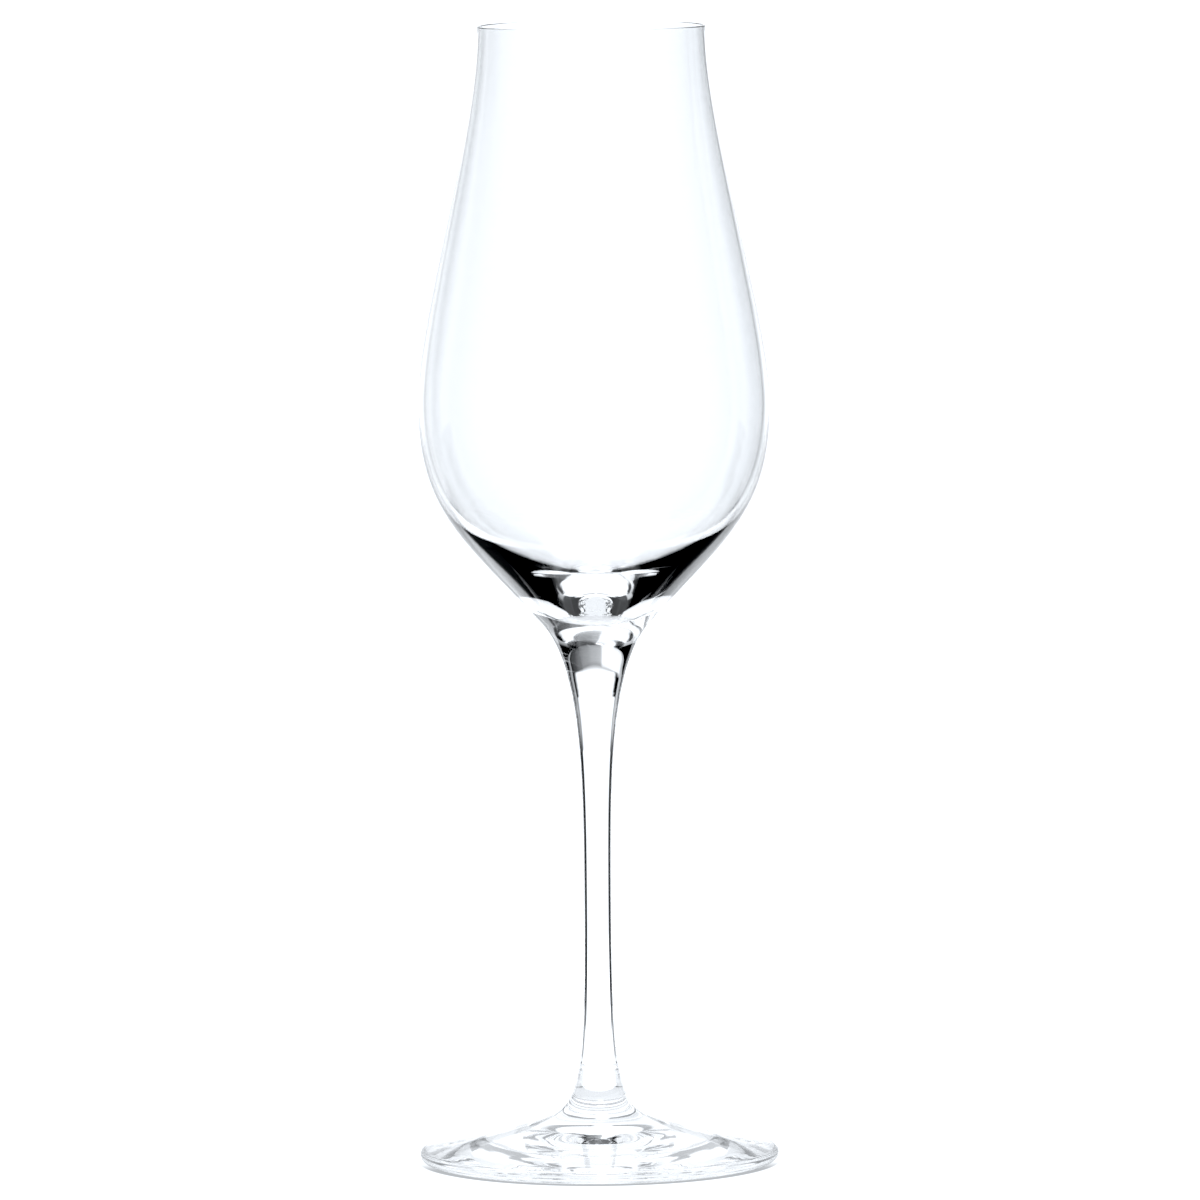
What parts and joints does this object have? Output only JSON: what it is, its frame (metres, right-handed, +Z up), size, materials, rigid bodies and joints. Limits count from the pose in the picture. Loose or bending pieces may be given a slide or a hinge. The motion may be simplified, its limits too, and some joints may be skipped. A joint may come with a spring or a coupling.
{
  "type": "dessert wine glass",
  "caption": "Clear stemmed dessert wine glass: a narrow-mouthed tulip bowl with a thick bottom, on a slender stem flared at both ends and a round foot that is hollow underneath.",
  "frame": {"origin": "centre of the foot, on the plane that it stands on", "axes": "+Z up along the axis of the glass, from the foot to the rim; X and Y are level and alike"},
  "size_m": [0.0664, 0.0664, 0.21],
  "materials": {
    "clear_glass": "polished"
  },
  "bodies": {
    "root": {"bowl": "clear_glass", "stem": "clear_glass", "foot": "clear_glass"}
  },
  "joints": []
}
